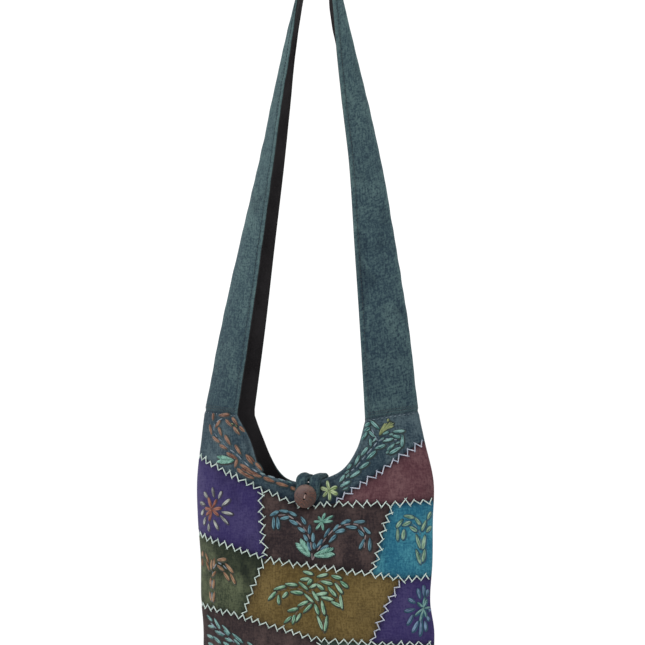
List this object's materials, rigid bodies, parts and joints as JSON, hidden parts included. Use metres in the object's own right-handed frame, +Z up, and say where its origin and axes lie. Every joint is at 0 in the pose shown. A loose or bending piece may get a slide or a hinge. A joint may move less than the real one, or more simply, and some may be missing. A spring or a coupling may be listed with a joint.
{
  "type": "embroidered hobo bag",
  "caption": "Soft patchwork shoulder bag with embroidered front patches, a wide lined strap in one loop, and a button and loop that close its mouth.",
  "frame": {"origin": "underside of the strap at its top, in the middle of its width, where a hook or shoulder carries the bag", "axes": "+Z up along the hanging bag, +X to the right as the embroidered front is seen, +Y from the front to the back"},
  "size_m": [0.3209, 0.0842, 1.0028],
  "materials": {
    "teal_cloth": "stonewashed dark teal cotton",
    "black_cloth": "plain black cotton lining",
    "purple_cloth": "stonewashed purple cotton",
    "brown_cloth": "stonewashed dark brown cotton",
    "maroon_cloth": "stonewashed maroon cotton",
    "aqua_cloth": "stonewashed blue-green cotton",
    "olive_cloth": "stonewashed olive cotton",
    "ochre_cloth": "stonewashed ochre cotton",
    "green_cloth": "stonewashed dark green cotton",
    "shell": "polished coconut shell",
    "thread": "twisted sewing thread"
  },
  "bodies": {
    "root": {"yoke": "teal_cloth", "patch_purple_left": "purple_cloth", "patch_brown_centre": "brown_cloth", "patch_maroon_right": "maroon_cloth", "patch_aqua_right": "aqua_cloth", "patch_olive_left": "olive_cloth", "patch_ochre_centre": "ochre_cloth", "patch_purple_right": "purple_cloth", "patch_brown_low": "brown_cloth", "patch_green_low": "green_cloth", "back_panel": "teal_cloth", "lining": "black_cloth", "strap": "teal_cloth", "strap_lining": "black_cloth", "button_loop": "teal_cloth", "button": "shell", "button_shank": "thread"}
  },
  "joints": []
}
